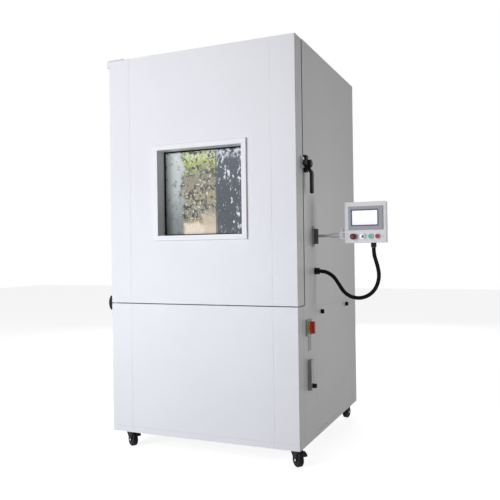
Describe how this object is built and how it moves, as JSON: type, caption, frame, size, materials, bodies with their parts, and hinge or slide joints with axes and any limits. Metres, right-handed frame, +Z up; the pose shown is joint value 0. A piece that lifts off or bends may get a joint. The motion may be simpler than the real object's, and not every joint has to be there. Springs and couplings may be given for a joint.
{
  "type": "environmental test chamber",
  "caption": "Dust test cabinet on castors with an insulated windowed door, dust hopper and blower below, and a control pendant on a swing arm.",
  "frame": {"origin": "middle of the whole object's footprint, on the floor", "axes": "+Z up, -Y out of the door, +X towards the side with the control pendant"},
  "size_m": [1.4524, 1.134, 2.08],
  "materials": {
    "frame_paint": "satin",
    "casing_paint": "satin",
    "stainless": "brushed",
    "mineral_wool": "matte",
    "door_foam": "matte",
    "black_rubber": "matte",
    "motor_grey": "satin",
    "plate_grey": "matte",
    "trim_white": "satin",
    "window_glass": "polished",
    "black_hardware": "satin",
    "arm_grey": "satin",
    "chrome": "polished",
    "light_plastic": "matte",
    "pendant_white": "satin",
    "bezel_grey": "matte",
    "screen": "gloss",
    "black_plastic": "matte",
    "stop_red": "gloss",
    "button_green": "gloss",
    "button_red": "gloss",
    "isolator_yellow": "gloss",
    "clear_acrylic": "polished",
    "conduit_grey": "matte",
    "castor_black": "satin",
    "castor_tyre": "matte"
  },
  "bodies": {
    "cabinet": {"base_frame": "frame_paint", "left_casing": "casing_paint", "right_casing": "casing_paint", "roof_panel": "casing_paint", "rear_panel": "casing_paint", "rear_service_panel": "casing_paint", "front_panel": "casing_paint", "side_service_panel": "casing_paint", "throat_frame": "casing_paint", "door_seal": "black_rubber", "chamber_liner": "stainless", "insulation": "mineral_wool", "specimen_shelf": "stainless", "dust_hopper": "stainless", "blower_housing": "stainless", "blower_motor": "motor_grey", "vacuum_set": "motor_grey", "control_plate": "plate_grey", "lower_hinge_base": "black_hardware", "latch_base": "black_hardware", "arm_bracket": "black_hardware", "isolator_base": "isolator_yellow", "flow_meter": "clear_acrylic", "cable_entries": "black_plastic", "conduit": "conduit_grey"},
    "door": {"door_shell": "casing_paint", "door_liner": "stainless", "door_insulation": "door_foam", "window_trim": "trim_white", "window_gasket": "black_rubber", "window_glass": "window_glass", "door_hinge_leaf": "black_hardware", "latch_keeper": "chrome"},
    "latch": {"latch_lever": "black_hardware"},
    "arm": {"pendant_arm": "arm_grey"},
    "pendant": {"clamp_knob": "light_plastic", "pendant_housing": "pendant_white", "screen_bezel": "bezel_grey", "screen_glass": "screen", "pendant_gland": "black_plastic"},
    "stop_button": {"emergency_stop": "stop_red"},
    "key": {"key_switch": "chrome"},
    "start_button": {"green_button": "button_green"},
    "halt_button": {"red_button": "button_red"},
    "isolator": {"isolator_handle": "stop_red"},
    "valve": {"flow_valve_knob": "black_plastic"},
    "impeller": {"blower_impeller": "stainless"},
    "front_panel_knob": {"panel_knob_front": "black_plastic"},
    "rear_panel_knob": {"panel_knob_rear": "black_plastic"},
    "fork_front_left": {"castor_fork_front_left": "castor_black"},
    "wheel_front_left": {"castor_wheel_front_left": "castor_tyre"},
    "fork_front_right": {"castor_fork_front_right": "castor_black"},
    "wheel_front_right": {"castor_wheel_front_right": "castor_tyre"},
    "fork_rear_left": {"castor_fork_rear_left": "castor_black"},
    "wheel_rear_left": {"castor_wheel_rear_left": "castor_tyre"},
    "fork_rear_right": {"castor_fork_rear_right": "castor_black"},
    "wheel_rear_right": {"castor_wheel_rear_right": "castor_tyre"},
    "pedal_front_left": {"brake_pedal_front_left": "castor_black"},
    "pedal_front_right": {"brake_pedal_front_right": "castor_black"}
  },
  "joints": [
    {"name": "door_hinge", "type": "hinge", "parent": "cabinet", "child": "door", "pos_m": [-0.70975, -0.543, 0.777], "axis": [0, 0, -1], "range_deg": [0, 110]},
    {"name": "latch_turn", "type": "hinge", "parent": "cabinet", "child": "latch", "pos_m": [0.37025, -0.435, 1.467], "axis": [1, 0, 0], "range_deg": [0, 90]},
    {"name": "arm_swing", "type": "hinge", "parent": "cabinet", "child": "arm", "pos_m": [0.37125, -0.312, 1.116], "axis": [0, 0, 1], "range_deg": [-45, 45]},
    {"name": "pendant_turn", "type": "hinge", "parent": "arm", "child": "pendant", "pos_m": [0.50525, -0.312, 1.116], "axis": [0, 0, 1], "range_deg": [-45, 45]},
    {"name": "stop_press", "type": "slide", "parent": "pendant", "child": "stop_button", "axis": [0, 1, 0], "range_m": [0, 0.005], "stiffness_N_per_m": 800},
    {"name": "key_turn", "type": "hinge", "parent": "pendant", "child": "key", "pos_m": [0.61325, -0.337, 1.108], "axis": [0, 1, 0], "range_deg": [0, 90]},
    {"name": "start_press", "type": "slide", "parent": "pendant", "child": "start_button", "axis": [0, 1, 0], "range_m": [0, 0.003], "stiffness_N_per_m": 600},
    {"name": "halt_press", "type": "slide", "parent": "pendant", "child": "halt_button", "axis": [0, 1, 0], "range_m": [0, 0.003], "stiffness_N_per_m": 600},
    {"name": "isolator_turn", "type": "hinge", "parent": "cabinet", "child": "isolator", "pos_m": [0.35425, -0.412, 0.665], "axis": [1, 0, 0], "range_deg": [0, 90]},
    {"name": "valve_turn", "type": "hinge", "parent": "cabinet", "child": "valve", "pos_m": [0.35425, -0.407, 0.379], "axis": [1, 0, 0], "range_deg": [0, 720]},
    {"name": "impeller_spin", "type": "hinge", "parent": "cabinet", "child": "impeller", "pos_m": [-0.17325, -0.0245, 0.402], "axis": [0, 0, 1], "continuous": true},
    {"name": "front_knob_turn", "type": "hinge", "parent": "cabinet", "child": "front_panel_knob", "pos_m": [0.35425, -0.19, 0.724], "axis": [1, 0, 0], "range_deg": [0, 90]},
    {"name": "rear_knob_turn", "type": "hinge", "parent": "cabinet", "child": "rear_panel_knob", "pos_m": [0.35425, 0.308, 0.724], "axis": [1, 0, 0], "range_deg": [0, 90]},
    {"name": "swivel_front_left", "type": "hinge", "parent": "cabinet", "child": "fork_front_left", "pos_m": [-0.64675, -0.472, 0.095], "axis": [0, 0, 1], "continuous": true},
    {"name": "roll_front_left", "type": "hinge", "parent": "fork_front_left", "child": "wheel_front_left", "pos_m": [-0.62423, -0.485, 0.035], "axis": [0.5, 0.866, 0], "continuous": true},
    {"name": "brake_front_left", "type": "hinge", "parent": "fork_front_left", "child": "pedal_front_left", "pos_m": [-0.61557, -0.49, 0.0761], "axis": [0.5, 0.866, 0], "range_deg": [0, 15]},
    {"name": "swivel_front_right", "type": "hinge", "parent": "cabinet", "child": "fork_front_right", "pos_m": [0.30025, -0.472, 0.095], "axis": [0, 0, 1], "continuous": true},
    {"name": "roll_front_right", "type": "hinge", "parent": "fork_front_right", "child": "wheel_front_right", "pos_m": [0.32017, -0.48871, 0.035], "axis": [0.6428, 0.766, 0], "continuous": true},
    {"name": "brake_front_right", "type": "hinge", "parent": "fork_front_right", "child": "pedal_front_right", "pos_m": [0.32783, -0.49514, 0.0761], "axis": [0.6428, 0.766, 0], "range_deg": [0, 15]},
    {"name": "swivel_rear_left", "type": "hinge", "parent": "cabinet", "child": "fork_rear_left", "pos_m": [-0.64675, 0.458, 0.095], "axis": [0, 0, 1], "continuous": true},
    {"name": "roll_rear_left", "type": "hinge", "parent": "fork_rear_left", "child": "wheel_rear_left", "pos_m": [-0.63576, 0.48156, 0.035], "axis": [-0.9063, 0.4226, 0], "continuous": true},
    {"name": "swivel_rear_right", "type": "hinge", "parent": "cabinet", "child": "fork_rear_right", "pos_m": [0.30025, 0.458, 0.095], "axis": [0, 0, 1], "continuous": true},
    {"name": "roll_rear_right", "type": "hinge", "parent": "fork_rear_right", "child": "wheel_rear_right", "pos_m": [0.30477, 0.48361, 0.035], "axis": [-0.9848, 0.1736, 0], "continuous": true}
  ]
}
